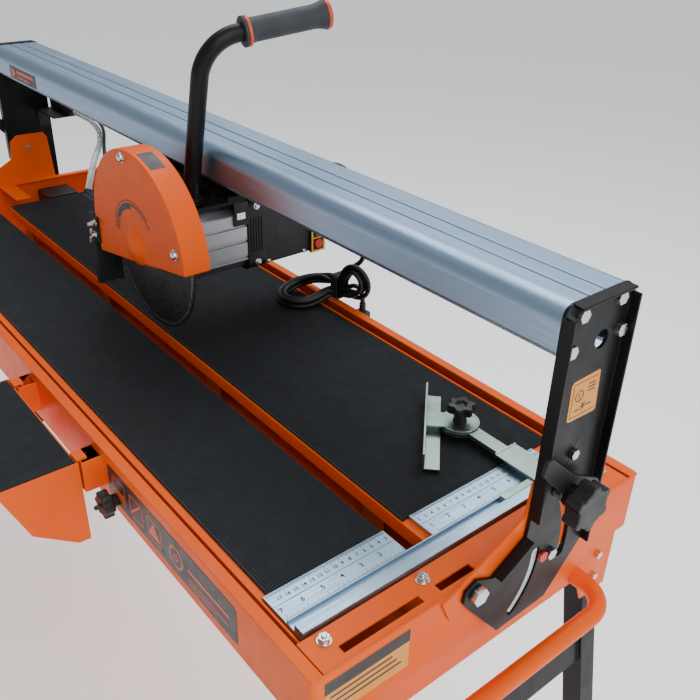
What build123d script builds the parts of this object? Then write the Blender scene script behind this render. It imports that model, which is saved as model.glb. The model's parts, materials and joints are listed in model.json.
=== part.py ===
from build123d import *
import math
import os

# Wet tile saw on folding legs: a water tank with a slotted table, a tilting rail over it,
# and a saw head that rolls along the rail. Millimetres, +Z up, floor at z = 0.
# X runs along the rail, towards the end with the rulers. Y runs from the operator's side to the back.
# Every sub-part is drawn with z = 0 at the top of the rubber mats and is raised by TABLE_H when saved.

TABLE_H = 780.0
TANK_X = 741.0
TANK_Y = 246.0
RIM_Z = 10.0
PAN_Z = -70.0
SHEET = 3.0

# The rail tilts about this line, which lies in the cutting plane.
CUT_Y = -46.0
PIVOT_Z = 2.0

DRAIN = (-620.0, -120.0)

MAT_X = 623.0
MAT_T = 3.0
PLATE_Z = -6.0
FRONT_PLATE = (-224.0, -60.0)
BACK_PLATE = (-32.0, 227.0)
PLATE_END_X = 694.0

BEAM_X = 745.0
BEAM_Y = (26.0, 129.0)
BEAM_Z = (244.0, 302.0)
SLOT_MID_Y = 78.0

BRACKET_X = (741.0, 745.0)
UPRIGHT_X = (746.0, 750.0)
FLANGE_X = 761.0
CLAMP_R = 138.0
CLAMP_DEG = 36.0
TILT_DEG = 45.0
STUD_R = 5.0
STUD_Y = CUT_Y + CLAMP_R * math.cos(math.radians(CLAMP_DEG))
STUD_Z = PIVOT_Z + CLAMP_R * math.sin(math.radians(CLAMP_DEG))
TILT_KNOB_X = 762.0
BRACKET_BOLTS = [(100, -20), (100, -48), (20, -48)]
BEAM_BOLTS = [(49, 290), (106, 292), (40, 255), (116, 255)]
POINTER_BOLTS = [(71, -10, 13), (78, 122, 11)]

CARRIAGE_X = 81.0
PIN_X = CARRIAGE_X - 150.0
PIN_Z = 214.0
BLADE_Z = 155.0
BLADE_R = 125.0
BORE_R = 12.7
GUARD_X = CARRIAGE_X + 6.0
GUARD_Z = 158.0
GUARD_R = 140.0

MOTOR_HALF = 56.0
MOTOR_Y = (-25.0, 83.0)
MOTOR_WALL = 5.0
FLAP_X = (CARRIAGE_X - 152, CARRIAGE_X - 138)

# Capacitor and switch box behind the motor.
BOX_X = (CARRIAGE_X - 60, CARRIAGE_X + 50)
BOX_Y = (116.0, 233.0)
BOX_Z = (98.0, 195.0)
BUTTON_Y = 216.0
BUTTONS_Z = (132.0, 112.0)

# Corners of the handle tube: on the motor mount, over the beam, at the end of the grip.
HANDLE_ROUTE = [(114, 5, 221), (149, 20.5, 441), (185, 188, 465)]
HANDLE_BEND = 62.0
HANDLE_R = 12.0
GRIP_START = 54.0

ROLLER_R = 14.0
ROLLER_Z = 262.3
AXLE_X = (CARRIAGE_X - 130.0, CARRIAGE_X + 50.0)

LEG_X = 698.0
LEG_Y = 218.0
LEG_Z = -100.0
LEG_SPLAY = 10.0
LEG_SECTION = 30.0
LEG_WALL = 2.0
STRETCHER_DROPS = (170, 540)
CARRY_R = 11.0

TRAY_X = (61.0, 304.0)
TRAY_Y = (-522.0, -275.0)
SLEEVES_X = (TRAY_X[0] + 15, TRAY_X[1] - 15)

# Middle of the angle guide's arm, and the axis that its fence turns about.
GUIDE_Y = 148.0
TURN = (539.0, 143.0)

CHAIN_END_X = -630.0

CORD_D = 8.0
HOSE_D = 10.0
CABLE_D = 6.0

# Free stretch of the mains cord, from its gland on the back of the beam to the top of the hank.
CORD_ROUTE = [
    (194, 169, 262), (194, 194, 262), (197, 222, 250), (199, 243, 219),
    (201, 253, 179), (202, 257, 136), (202, 257, 96),
]
# Water hose, from the cable chain at the left upright to the inlet on the guard.
HOSE_ROUTE = [
    (-630, 141, 173), (-592, 141, 173), (-546, 135, 176), (-492, 122, 182), (-433, 104, 190),
    (-375, 84, 198), (-319, 62, 207), (-266, 40, 215), (-219, 19, 222), (-182, 1, 227),
    (-151, -16, 229), (-131, -30, 224), (-118, -43, 209), (-113, -53, 186),
]
# Control cable, beside the hose from the chain to the gland on the motor mount.
CABLE_ROUTE = [
    (-630, 150, 180), (-592, 150, 180), (-545, 144, 183), (-490, 130, 189), (-431, 111, 197),
    (-373, 91, 206), (-317, 69, 215), (-264, 47, 223), (-216, 26, 230), (-175, 7, 231),
    (-143, -7, 224), (-117, -15, 210), (-95, -18, 193),
]

os.makedirs("parts", exist_ok=True)


def save(name, *solids):
    """Raise the solids to the table's height and write them as one node."""
    raised = [Pos(0, 0, TABLE_H) * solid for solid in solids]
    shape = raised[0] if len(raised) == 1 else Compound(children=raised)
    export_step(shape, f"parts/{name}.step")


def block(x, y, z):
    """Box between pairs of limits."""
    size = (x[1] - x[0], y[1] - y[0], z[1] - z[0])
    return Pos((x[0] + x[1]) / 2, (y[0] + y[1]) / 2, (z[0] + z[1]) / 2) * Box(*size)


def rod_x(x, y, z, r):
    return Pos((x[0] + x[1]) / 2, y, z) * Rot(0, 90, 0) * Cylinder(r, x[1] - x[0])


def rod_y(x, y, z, r):
    return Pos(x, (y[0] + y[1]) / 2, z) * Rot(90, 0, 0) * Cylinder(r, y[1] - y[0])


def rod_z(x, y, z, r):
    return Pos(x, y, (z[0] + z[1]) / 2) * Cylinder(r, z[1] - z[0])


def hex_x(x, y, z, flats):
    """Hexagon head along X."""
    return prism_x([(y + flats / math.sqrt(3) * math.cos(a), z + flats / math.sqrt(3) * math.sin(a))
                    for a in [math.radians(60 * i) for i in range(6)]], x)


def prism_x(points, x):
    """Outline in (y, z), extruded between two x values."""
    face = Plane.YZ.offset(x[0]) * make_face(Polyline(*points, close=True))
    return extrude(face, x[1] - x[0])


def prism_y(points, y):
    """Outline in (x, z), extruded between two y values."""
    face = Plane.XZ.offset(-y[1]) * make_face(Polyline(*points, close=True))
    return extrude(face, y[1] - y[0])


def prism_z(points, z):
    """Outline in (x, y), extruded between two z values."""
    face = Plane.XY.offset(z[0]) * make_face(Polyline(*points, close=True))
    return extrude(face, z[1] - z[0])


def mirror_x(solid):
    return solid.mirror(Plane.YZ)


def arc_slot_x(radius, deg, half_width, x):
    """Curved slot about the tilt axis, through the given x limits."""
    ring = rod_x(x, CUT_Y, PIVOT_Z, radius + half_width) - rod_x(x, CUT_Y, PIVOT_Z, radius - half_width)
    reach = 4 * radius
    steps = [deg[0] + (deg[1] - deg[0]) * i / 6 for i in range(7)]
    corners = [(CUT_Y + reach * math.cos(math.radians(a)), PIVOT_Z + reach * math.sin(math.radians(a)))
               for a in steps]
    slot = ring & prism_x([(CUT_Y, PIVOT_Z)] + corners, x)
    for a in deg:
        y = CUT_Y + radius * math.cos(math.radians(a))
        z = PIVOT_Z + radius * math.sin(math.radians(a))
        slot += rod_x(x, y, z, half_width)
    return slot


def lobed_knob(radius, height, lobes):
    """Hand knob standing on the XY plane, its stem downwards from z = 0 to the top of the lobes."""
    stem = Pos(0, 0, height * 0.2) * Cylinder(radius * 0.45, height * 0.4)
    head = Pos(0, 0, height * 0.7) * Cylinder(radius * 0.8, height * 0.6)
    for i in range(lobes):
        a = 2 * math.pi * i / lobes
        place = Pos(radius * 0.76 * math.cos(a), radius * 0.76 * math.sin(a), height * 0.7)
        head += place * Cylinder(radius * 0.24, height * 0.6)
    return stem + head


def tube_path(name, points, diameter):
    """Tube along straight runs joined by tangent arcs, each as large as its two runs allow."""
    points = [Vector(*p) for p in points]
    radii = []
    for before, here, after in zip(points, points[1:], points[2:]):
        run_in, run_out = here - before, after - here
        turn = math.radians(run_in.get_angle(run_out))
        radii.append(0.45 * min(run_in.length, run_out.length) / math.tan(turn / 2))
    path = FilletPolyline(*points, radius=radii)
    section = Plane(origin=path @ 0, z_dir=path % 0) * Circle(diameter / 2)
    tube = sweep(section, path=path)
    share = tube.volume / (math.pi * diameter**2 / 4 * path.length)
    rounded = [round(r) for r in radii]
    print(name, "length", round(path.length), "radii", rounded, "volume share", round(share, 4))
    return tube


# ---------------------------------------------------------------- tank and table

def tank_pan():
    """Open water pan with a folded rim, the ledge at its far end and the side table's two sleeves."""
    pan = block((-TANK_X, TANK_X), (-TANK_Y, TANK_Y), (PAN_Z, RIM_Z))
    pan = fillet(pan.edges().filter_by(Axis.Z), 8)
    inside_x, inside_y = TANK_X - SHEET, TANK_Y - SHEET
    inner = block((-inside_x, inside_x), (-inside_y, inside_y), (PAN_Z + SHEET, RIM_Z + 5))
    inner = fillet(inner.edges().filter_by(Axis.Z), 5)
    pan -= inner
    rim_w = 14.0
    rim = block((-TANK_X + 1, TANK_X - 1), (-TANK_Y + 1, TANK_Y - 1), (RIM_Z - SHEET, RIM_Z))
    rim -= block((-TANK_X + rim_w, TANK_X - rim_w), (-TANK_Y + rim_w, TANK_Y - rim_w), (0, RIM_Z + 5))
    rim -= block((TANK_X - rim_w - 1, TANK_X + 1), (-TANK_Y + rim_w, TANK_Y - rim_w), (0, RIM_Z + 5))
    pan += fillet(rim.edges().filter_by(Axis.Z).group_by(Axis.X)[0], 6)
    pan += block((-TANK_X + 2, -MAT_X - 3), (-15, 17), (RIM_Z - SHEET, RIM_Z))
    drain = rod_z(DRAIN[0], DRAIN[1], (PAN_Z - 5, PAN_Z + 5), 12.05)
    pan -= drain
    for x in SLEEVES_X:
        sleeve = block((x - 15, x + 15), (-272, -TANK_Y + 1), (-48, -2))
        pan += sleeve - block((x - 13, x + 13), (-270, -TANK_Y - 0.5), (-60, 5))
    return pan


def end_plate():
    """Folded plate under one end of the pan, with a deeper tab and cheeks at each leg."""
    face_x = (729.0, 732.0)
    edge = TANK_Y - 6
    outline = [(-edge, PAN_Z), (-edge, -174), (-190, -174), (-172, -127), (172, -127), (190, -174), (edge, -174),
               (edge, PAN_Z)]
    plate = prism_x(outline, face_x)
    for side in (-1, 1):
        for y in (side * (LEG_Y - 19), side * (LEG_Y + 19)):
            plate += prism_y([(730, PAN_Z), (730, -160), (690, -125), (668, PAN_Z)], (y - 1.5, y + 1.5))
        plate -= rod_y(LEG_X, (side * LEG_Y - 30, side * LEG_Y + 30), LEG_Z, 5.05)
    return plate


def table_supports():
    """Bent feet that carry the two table plates above the floor of the pan."""
    feet = []
    for x in (-560, -190, 190, 560):
        for y in ((-216, -72), (-20, 216)):
            foot = block((x - 20, x + 20), y, (PAN_Z + SHEET, PLATE_Z))
            gap = block((x - 20, x + 20), (y[0] + 3, y[1] - 3), (PAN_Z, PLATE_Z - 3))
            feet.append(foot - gap)
    return feet


def table_plate_front():
    plate = block((-MAT_X - 3, PLATE_END_X), FRONT_PLATE, (PLATE_Z, -MAT_T))
    plate += block((-MAT_X - 3, PLATE_END_X), (FRONT_PLATE[0], FRONT_PLATE[0] + 3), (-20, 0))
    plate += block((-MAT_X - 3, PLATE_END_X), (FRONT_PLATE[1] - 2, FRONT_PLATE[1]), (-22, -MAT_T))
    return plate


def table_plate_back():
    plate = block((-MAT_X - 3, PLATE_END_X), BACK_PLATE, (PLATE_Z, -MAT_T))
    plate += block((-MAT_X - 3, PLATE_END_X), (BACK_PLATE[1] - 3, BACK_PLATE[1]), (-20, 0))
    plate += block((-MAT_X - 3, PLATE_END_X), (BACK_PLATE[0], BACK_PLATE[0] + 2), (-22, -MAT_T))
    return plate


def mat(x, y):
    """Rubber mat with fine ribs along X, drawn as a plain sheet."""
    return block(x, y, (-MAT_T, 0))


def ruler_plates():
    plates = []
    for y in ((-220, -61), (-22, 188)):
        plate = block((622, 665), y, (-MAT_T, 3))
        plates.append(chamfer(plate.edges().filter_by(Axis.Y).group_by(Axis.Z)[-1], 1))
    return plates


def fence_rail():
    """Channel and bar across the whole table, which the angle guide slides along."""
    rail = block((665, 691), (-220, 188), (-MAT_T, 12))
    rail -= block((667, 677), (-230, 200), (3, 20))
    rail -= block((665, 667), (-230, 200), (8, 20))
    return rail


def end_deck():
    """Slotted sheet between the fence rail and the end wall of the pan."""
    deck = block((PLATE_END_X, TANK_X - SHEET), (-TANK_Y + 16, TANK_Y - 16), (5, 8))
    deck += block((PLATE_END_X, PLATE_END_X + 3), (-TANK_Y + 16, TANK_Y - 16), (-24, 8))
    for y in ((-200, -99), (-76, -27), (60, 160)):
        deck -= block((719, 729), y, (0, 10))
    return deck


# ---------------------------------------------------------------- tilt pivots and uprights

BRACKET_OUTLINE = [(-89, 8), (-66, 16), (-8, 44), (25, 62), (29, 100), (43, 112), (103, 112), (111, 100),
                   (117, 10), (117, -60), (-29, -61), (-76, -22)]

def pivot_bracket():
    """Fixed plate on the end wall that carries the tilt pivot and the clamp stud."""
    bracket = prism_x(BRACKET_OUTLINE, BRACKET_X)
    bracket -= rod_x(BRACKET_X, CUT_Y, PIVOT_Z, 8)
    bracket -= rod_x(BRACKET_X, STUD_Y, STUD_Z, STUD_R)
    for y, z in BRACKET_BOLTS:
        bracket -= rod_x(BRACKET_X, y, z, 4)
    return bracket


def table_bolts():
    """Pivot bolts, clamp studs and the small bolts of the table, both ends."""
    bolts = []
    pivot = rod_x((BRACKET_X[0], UPRIGHT_X[1] + 0.5), CUT_Y, PIVOT_Z, 8)
    pivot += hex_x((UPRIGHT_X[1] + 0.5, UPRIGHT_X[1] + 8), CUT_Y, PIVOT_Z, 19)
    stud = rod_x((BRACKET_X[0], 790), STUD_Y, STUD_Z, STUD_R)
    stud += rod_x((UPRIGHT_X[1] + 1, TILT_KNOB_X), STUD_Y, STUD_Z, 11)
    bolts += [pivot, stud]
    for y, z in BRACKET_BOLTS:
        bolt = rod_x(BRACKET_X, y, z, 4) + rod_x((BRACKET_X[1], BRACKET_X[1] + 0.6), y, z, 8)
        bolts.append(bolt)
    for y, z in ((205, -103), (205, -140)):
        bolts.append(rod_x((732, 738), y, z, 5))
    bolts += [mirror_x(bolt) for bolt in bolts]
    for y in (-207, -81, 214):
        bolts.append(rod_z(707, y, (8, 12), 6))
    return bolts


def carry_handle(side):
    """Bent tube in front of one end plate."""
    reach, width = 786, 163
    path = FilletPolyline((732, -width, -115), (reach, -width, -115), (reach, width, -115), (732, width, -115),
                          radius=38)
    section = Plane(origin=path @ 0, z_dir=path % 0)
    handle = sweep(section * Circle(CARRY_R), path=path) - sweep(section * Circle(CARRY_R - 2), path=path)
    return handle if side > 0 else mirror_x(handle)


UPRIGHT_OUTLINE = [(-3, -82), (76, -80), (128, -20), (128, 304), (26, 304), (26, 60), (24, 36), (-22, 8),
                   (-46, 20), (-62, 12), (-64, -2), (-56, -14)]


def upright(side):
    """Pressed plate from the tilt pivot up to the beam's end, flanged on three edges."""
    web = prism_x(UPRIGHT_OUTLINE, UPRIGHT_X)
    web = fillet(web.edges().filter_by(Axis.X).group_by(Axis.Z)[-1], 12)
    flange_x = (UPRIGHT_X[1] - 1, FLANGE_X)
    web += block(flange_x, (26, 29), (60, 293))
    web += block(flange_x, (125, 128), (-18, 293))
    web += block(flange_x, (36, 118), (301, 304))
    web += prism_x([(24, 38.5), (24, 36), (-20, 9), (-22, 11)], flange_x)
    web -= rod_x(UPRIGHT_X, CUT_Y, PIVOT_Z, 8.05)
    web -= arc_slot_x(CLAMP_R, (CLAMP_DEG - TILT_DEG, CLAMP_DEG), 6, UPRIGHT_X)
    web -= arc_slot_x(91, (-46, 2), 6, UPRIGHT_X)
    web -= rod_x(UPRIGHT_X, 91, 251, 10)
    for y, z in BEAM_BOLTS:
        web -= rod_x(UPRIGHT_X, y, z, 4)
    return web if side > 0 else mirror_x(web)


def upright_bolts():
    """Hexagon bolts that hold the beam between the uprights, and the pointer bolts."""
    bolts = []
    for y, z in BEAM_BOLTS:
        bolt = rod_x((BEAM_X + 1, UPRIGHT_X[1]), y, z, 4)
        bolt += hex_x((UPRIGHT_X[1], UPRIGHT_X[1] + 6), y, z, 13)
        bolts.append(bolt)
    for y, z, flats in POINTER_BOLTS:
        bolts.append(hex_x((UPRIGHT_X[1], UPRIGHT_X[1] + 5), y, z, flats))
    return bolts + [mirror_x(bolt) for bolt in bolts]


# ---------------------------------------------------------------- rail

def rail_beam():
    """Hollow extrusion with a closed roller channel, open below along the whole rail."""
    front, back = BEAM_Y
    low, high = BEAM_Z
    outline = [(front, 256), (front + 13, low), (back, low), (back, high), (front, high)]
    beam = prism_x(outline, (-BEAM_X - 1, BEAM_X + 1))
    tops = beam.edges().filter_by(Axis.X).group_by(Axis.Z)[-1]
    beam = fillet(tops.sort_by(Axis.Y)[0], 20)
    beam = fillet(beam.edges().filter_by(Axis.X).group_by(Axis.Z)[-1].sort_by(Axis.Y)[-1], 12)
    span = (-BEAM_X - 2, BEAM_X + 2)
    beam -= block(span, (48, 108), (283, 297))
    beam -= block(span, (SLOT_MID_Y - 38.5, SLOT_MID_Y + 38.5), (248, 279))
    beam -= block(span, (SLOT_MID_Y - 20, SLOT_MID_Y + 20), (low - 1, 250))
    for y in (65.5, 89.5):
        beam -= block(span, (y - 1.25, y + 1.25), (high - 2, high + 1))
    return beam


def cable_chain():
    """Bracket on the left upright and the cable chain's end on it, behind the head's path."""
    bracket = block((-UPRIGHT_X[0], CHAIN_END_X - 20), (100, 160), (160, 163))
    bracket += block((-UPRIGHT_X[0], -UPRIGHT_X[0] + 3), (100, 124), (125, 163))
    chain = block((-UPRIGHT_X[0] + 4, CHAIN_END_X), (130, 160), (163, 190))
    return [bracket, chain]


def cord_gland():
    """Tapered strain relief behind the beam."""
    nut = rod_y(194, (129, 137), 262, 13)
    taper = Pos(194, 153, 262) * Rot(-90, 0, 0) * Cone(8.5, 5.2, 32)
    return nut + taper


def cord_hank():
    """Outer shape of the tied hank, half on the mat and half over the back of the rim."""
    lobe = prism_x([(163, 3.5), (200, 3.5), (230, 11), (250, 15), (250, 51), (243, 49), (200, 33), (163, 20)], (56, 160))
    drop = block((130, 236), (250, 267), (18, 96))
    return [lobe, drop]


def power_plug():
    """Mains plug that hangs behind the pan, under the hank."""
    body = block((189, 215), (249, 269), (-62, 2))
    body = fillet(body.edges().filter_by(Axis.Z), 7)
    relief = rod_z(202, 259, (2, 18), 5.5)
    pins = rod_z(196, 259, (-80, -62), 2.4) + rod_z(208, 259, (-80, -62), 2.4)
    return body + relief + pins


# ---------------------------------------------------------------- carriage

def carriage_block():
    """Carriage under the beam: plate, posts through the slot, two axle seats and the hinge ears."""
    x = CARRIAGE_X
    plate = block((x - 175, x + 90), (33, 123), (228, 236))
    for ax in AXLE_X:
        plate += block((ax - 12, ax + 12), (SLOT_MID_Y - 14, SLOT_MID_Y + 14), (235, 272))
        plate -= rod_y(ax, (20, 140), ROLLER_Z, 4.05)
    for y in ((37, 43), (113, 119)):
        ear = prism_y([(PIN_X - 14, 229), (PIN_X - 9, 204), (PIN_X + 9, 204), (PIN_X + 22, 229)], y)
        plate += ear
    plate -= rod_y(PIN_X, (30, 130), PIN_Z, 5)
    pin = rod_y(PIN_X, (34, 122), PIN_Z, 5)
    return [plate, pin]


def roller_set(x):
    """Axle with a roller at each end, in one piece."""
    rollers = rod_y(x, (SLOT_MID_Y - 36, SLOT_MID_Y + 36), ROLLER_Z, 4)
    for side in (-1, 1):
        y = SLOT_MID_Y + side * 29.5
        roller = rod_y(x, (y - 6.5, y + 6.5), ROLLER_Z, ROLLER_R)
        rollers += chamfer(roller.edges(), 1)
    return rollers


# ---------------------------------------------------------------- saw head

def motor_mount():
    """Ribbed plate over the motor with the hinge barrel at its left end."""
    x = CARRIAGE_X
    mount = block((x - 126, x + 60), (-19, 78), (211, 217))
    mount += rod_y(PIN_X, (47, 109), PIN_Z, 9)
    mount += block((PIN_X, x - 120), (47, 78), (210, 217))
    mount += block((PIN_X - 5, x - 120), (-27, 32), (211, 217))
    mount -= rod_y(PIN_X, (40, 115), PIN_Z, 5.05)
    for y in (-10, 10, 30, 50):
        mount += block((x - 110, x + 10), (y - 2, y + 2), (217, 221))
    return mount


def handle_tube():
    """Bent tube from the motor mount, in front of the beam, up and back to the grip."""
    path = FilletPolyline(*HANDLE_ROUTE, radius=HANDLE_BEND)
    section = Plane(origin=path @ 0, z_dir=path % 0)
    tube = sweep(section * Circle(HANDLE_R), path=path) - sweep(section * Circle(HANDLE_R - 2), path=path)
    x, y, z = HANDLE_ROUTE[0]
    return tube + rod_z(x, y, (z - 4, z), 19) + rod_z(x, y, (z - 4, z + 6), 15)


def handle_grip():
    """Ribbed rubber grip over the end of the handle tube, with a flange at each end."""
    bend, end = Vector(*HANDLE_ROUTE[-2]), Vector(*HANDLE_ROUTE[-1])
    along = (end - bend).normalized()
    start = bend + along * GRIP_START
    length = (end - start).length
    base = Plane(origin=start, z_dir=along)
    grip = base * Pos(0, 0, (length + 6) / 2) * Cylinder(16, length + 6)
    for z in (0, length + 1):
        grip += base * Pos(0, 0, z + 2.5) * Cylinder(20, 5)
    return grip - base * Pos(0, 0, length / 2 - 1) * Cylinder(HANDLE_R, length + 2)


def motor_housing():
    """Square finned extrusion round the stator."""
    x = CARRIAGE_X
    outer = block((x - MOTOR_HALF, x + MOTOR_HALF), MOTOR_Y, (BLADE_Z - MOTOR_HALF, BLADE_Z + MOTOR_HALF))
    outer = fillet(outer.edges().filter_by(Axis.Y), 14)
    for i in range(-3, 4):
        for side in (-1, 1):
            outer -= block((x + i * 13 - 3, x + i * 13 + 3), (MOTOR_Y[0] - 1, MOTOR_Y[1] + 1),
                           (BLADE_Z + side * 58 - 5, BLADE_Z + side * 58 + 5))
            outer -= block((x + side * 58 - 5, x + side * 58 + 5), (MOTOR_Y[0] - 1, MOTOR_Y[1] + 1),
                           (BLADE_Z + i * 13 - 3, BLADE_Z + i * 13 + 3))
    outer -= rod_y(x, (MOTOR_Y[0] + MOTOR_WALL, MOTOR_Y[1] + 1), BLADE_Z, 46)
    return outer - rod_y(x, (MOTOR_Y[0] - 1, MOTOR_Y[0] + 10), BLADE_Z, 12)


def motor_stator():
    """Winding pack pressed into the housing."""
    stator = rod_y(CARRIAGE_X, (-8, 66), BLADE_Z, 46)
    return stator - rod_y(CARRIAGE_X, (-10, 68), BLADE_Z, 29)


def motor_end_bell():
    """Black square cover with the fan space behind the stator."""
    x = CARRIAGE_X
    bell = block((x - 58, x + 58), (MOTOR_Y[1], 116), (BLADE_Z - 58, BLADE_Z + 58))
    bell = fillet(bell.edges().filter_by(Axis.Y), 16)
    return bell - rod_y(x, (MOTOR_Y[1] - 1, 111), BLADE_Z, 47)


def switch_box():
    """Capacitor and switch box on the end bell, with a raised frame round the two buttons."""
    box = block(BOX_X, BOX_Y, BOX_Z)
    box = fillet(box.edges().filter_by(Axis.Y), 6)
    box -= block((BOX_X[0] + 3, BOX_X[1] - 3), (BOX_Y[0] + 3, BOX_Y[1] - 3), (BOX_Z[0] + 3, BOX_Z[1] - 3))
    box += block((BOX_X[1] - 1, BOX_X[1] + 5), (BUTTON_Y - 14, BUTTON_Y + 14), (98, 146))
    for z in BUTTONS_Z:
        box -= rod_x((BOX_X[1] - 10, BOX_X[1] + 10), BUTTON_Y, z, 8)
    return box


def button(z):
    """Push button with a collar that keeps it behind the frame's face."""
    return rod_x((BOX_X[1] - 6, BOX_X[1] + 9), BUTTON_Y, z, 7.7)


def guard_profile(r):
    """Round guard with its open lower edge cut along a falling chord, in (x, z)."""
    left = (GUARD_X - 128, GUARD_Z - 48)
    right = (GUARD_X + 134, GUARD_Z + 4)
    disc = rod_y(GUARD_X, (-72, -32), GUARD_Z, r)
    below = [left, right, (GUARD_X + 160, GUARD_Z + 9), (GUARD_X + 160, GUARD_Z - 160),
             (GUARD_X - 160, GUARD_Z - 160), (GUARD_X - 160, GUARD_Z - 54)]
    return disc - prism_y(below, (-80, -20))


def guard_shell():
    """Blade guard: face plate, band and back plate, with the domed boss and the face bolts."""
    shell = guard_profile(GUARD_R)
    inner = rod_y(GUARD_X, (-69.5, -34.5), GUARD_Z, GUARD_R - 2.5)
    shell -= inner
    shell -= rod_y(CARRIAGE_X, (-36, -30), BLADE_Z, 30)
    dome_r, base_r, rise = 46.4, 30.0, 11.0
    dome = Pos(GUARD_X, -72 - rise + dome_r, GUARD_Z + 4) * Sphere(dome_r)
    shell += dome & block((GUARD_X - base_r, GUARD_X + base_r), (-90, -71.5), (60, 260))
    for x, z in ((GUARD_X - 16, GUARD_Z + 128), (GUARD_X + 118, GUARD_Z + 30)):
        shell += rod_y(x, (-76, -71), z, 6)
    return shell


def splash_flap():
    """Rubber fringe on the left of the guard, with the strap and the two wing nuts that hold it."""
    flap = block(FLAP_X, (-75.3, -34), (44, 166))
    for i in range(6):
        flap -= block((FLAP_X[0] - 1, FLAP_X[1] + 1), (-66 + i * 5, -64 + i * 5), (40, 80))
    flap += block((FLAP_X[0], -40), (-75.3, -72.3), (122, 164))
    nuts = []
    for x, z in ((-48, 154), (-53, 133)):
        nuts.append(rod_y(x, (-84, -75.3), z, 4.5) + block((x - 14, x + 14), (-84, -81), (z - 4, z + 4)))
    return [flap] + nuts


def motor_rotor():
    """Shaft with the rotor pack and the cooling fan."""
    x = CARRIAGE_X
    shaft = rod_y(x, (-64, 104), BLADE_Z, 7.5)
    shaft += rod_y(x, (-6, 64), BLADE_Z, 28)
    return shaft + rod_y(x, (86, 100), BLADE_Z, 40)


def saw_blade():
    """Continuous-rim diamond blade."""
    blade = rod_y(CARRIAGE_X, (CUT_Y - 1, CUT_Y + 1), BLADE_Z, BLADE_R - 8)
    blade += rod_y(CARRIAGE_X, (CUT_Y - 1.3, CUT_Y + 1.3), BLADE_Z, BLADE_R)
    blade -= rod_y(CARRIAGE_X, (CUT_Y - 2, CUT_Y - 1), BLADE_Z, BLADE_R - 8)
    blade -= rod_y(CARRIAGE_X, (CUT_Y + 1, CUT_Y + 2), BLADE_Z, BLADE_R - 8)
    return blade - rod_y(CARRIAGE_X, (CUT_Y - 3, CUT_Y + 3), BLADE_Z, BORE_R)


def blade_flanges():
    """Inner flange with the spigot for the blade, outer flange, and the nut."""
    x = CARRIAGE_X
    inner = rod_y(x, (CUT_Y + 1, CUT_Y + 7), BLADE_Z, 29) + rod_y(x, (CUT_Y - 1, CUT_Y + 2), BLADE_Z, BORE_R)
    outer = rod_y(x, (CUT_Y - 6, CUT_Y - 1), BLADE_Z, 29)
    nut = rod_y(x, (CUT_Y - 14, CUT_Y - 6), BLADE_Z, 12)
    shaft_hole = rod_y(x, (-70, -30), BLADE_Z, 7.5)
    return [inner - shaft_hole, outer - shaft_hole, nut - shaft_hole]


def along_end(route):
    """Plane at the end of a route, facing on along its last run."""
    before, end = Vector(*route[-2]), Vector(*route[-1])
    return Plane(origin=end, z_dir=end - before)


def head_fittings():
    """Water inlet elbow on the guard's left side and the control cable's gland on the mount."""
    stub = along_end(HOSE_ROUTE)
    x, y, z = tuple(stub.origin + stub.z_dir * 9)
    inlet = stub * Pos(0, 0, 4.5) * Cylinder(5.5, 9) + stub * Pos(0, 0, 5) * Cylinder(7.5, 4)
    inlet += Pos(x, y, z) * Sphere(5.5) + rod_x((x, -46), y, z, 5.5)
    inlet += block((-58, -46), (y - 8, y + 8), (z - 8, z + 8))
    inlet -= rod_y(GUARD_X, (-80, -20), GUARD_Z, GUARD_R)
    gland = along_end(CABLE_ROUTE) * Pos(0, 0, 10) * Cone(3.6, 6.5, 20)
    gland += block((-86, -57), (-29, -9), (172, 211))
    return [inlet, gland]


# ---------------------------------------------------------------- angle guide

def guide_slider():
    """Slider in the fence channel, with its bracket and the arm over the mat."""
    slider = block((667.3, 676.7), (78, 172), (3.3, 12))
    slider += block((614, 677), (129, 166), (12, 15))
    slider += block((TURN[0] - 14, 616), (GUIDE_Y - 14, GUIDE_Y + 6), (8, 15))
    slider += rod_z(TURN[0], TURN[1], (8, 15), 26)
    return slider + rod_z(TURN[0], TURN[1], (15, 24), 4)


def guide_fence():
    """Turning disc with the fence bar at 45 degrees."""
    disc = rod_z(TURN[0], TURN[1], (15.3, 18), 26) - rod_z(TURN[0], TURN[1], (10, 25), 4.1)
    bar = block((-92, 72), (43, 46), (4, 28)) + block((-92, 72), (24, 44), (4, 6.5))
    bar += block((-16, 16), (10, 44), (15.3, 18)) - rod_z(0, 0, (10, 25), 20)
    return disc + Pos(TURN[0], TURN[1], 0) * Rot(0, 0, 135) * bar


def guide_knob():
    knob = lobed_knob(17, 26, 6) - Pos(0, 0, 2) * Cylinder(4.05, 12.2)
    return Pos(TURN[0], TURN[1], 18.3) * knob


# ---------------------------------------------------------------- side table

def side_tray():
    """Sheet tray in front of the tank, with side gussets and two hooks for the tank's sleeves."""
    x0, x1 = TRAY_X
    y0, y1 = TRAY_Y
    tray = block(TRAY_X, TRAY_Y, (-6, -3))
    gusset = [(y1, -3), (y1, -121), (y1 - 16, -121), (y1 - 70, -80), (y1 - 97, -12), (y0, -12), (y0, -3)]
    tray += prism_x(gusset, (x0, x0 + 2)) + prism_x(gusset, (x1 - 2, x1))
    tray += block((x0, x0 + 2), TRAY_Y, (-12, 0)) + block((x1 - 2, x1), TRAY_Y, (-12, 0))
    tray += block(TRAY_X, (y0, y0 + 2), (-12, 0)) + block(TRAY_X, (y1 - 2, y1), (-60, -3))
    for x in SLEEVES_X:
        tray += block((x - 10, x + 10), (y1 - 1, -262), (-2, 1))
        tray += block((x - 10, x + 10), (-266, -262), (-40, 1))
    return tray


# ---------------------------------------------------------------- legs

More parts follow.
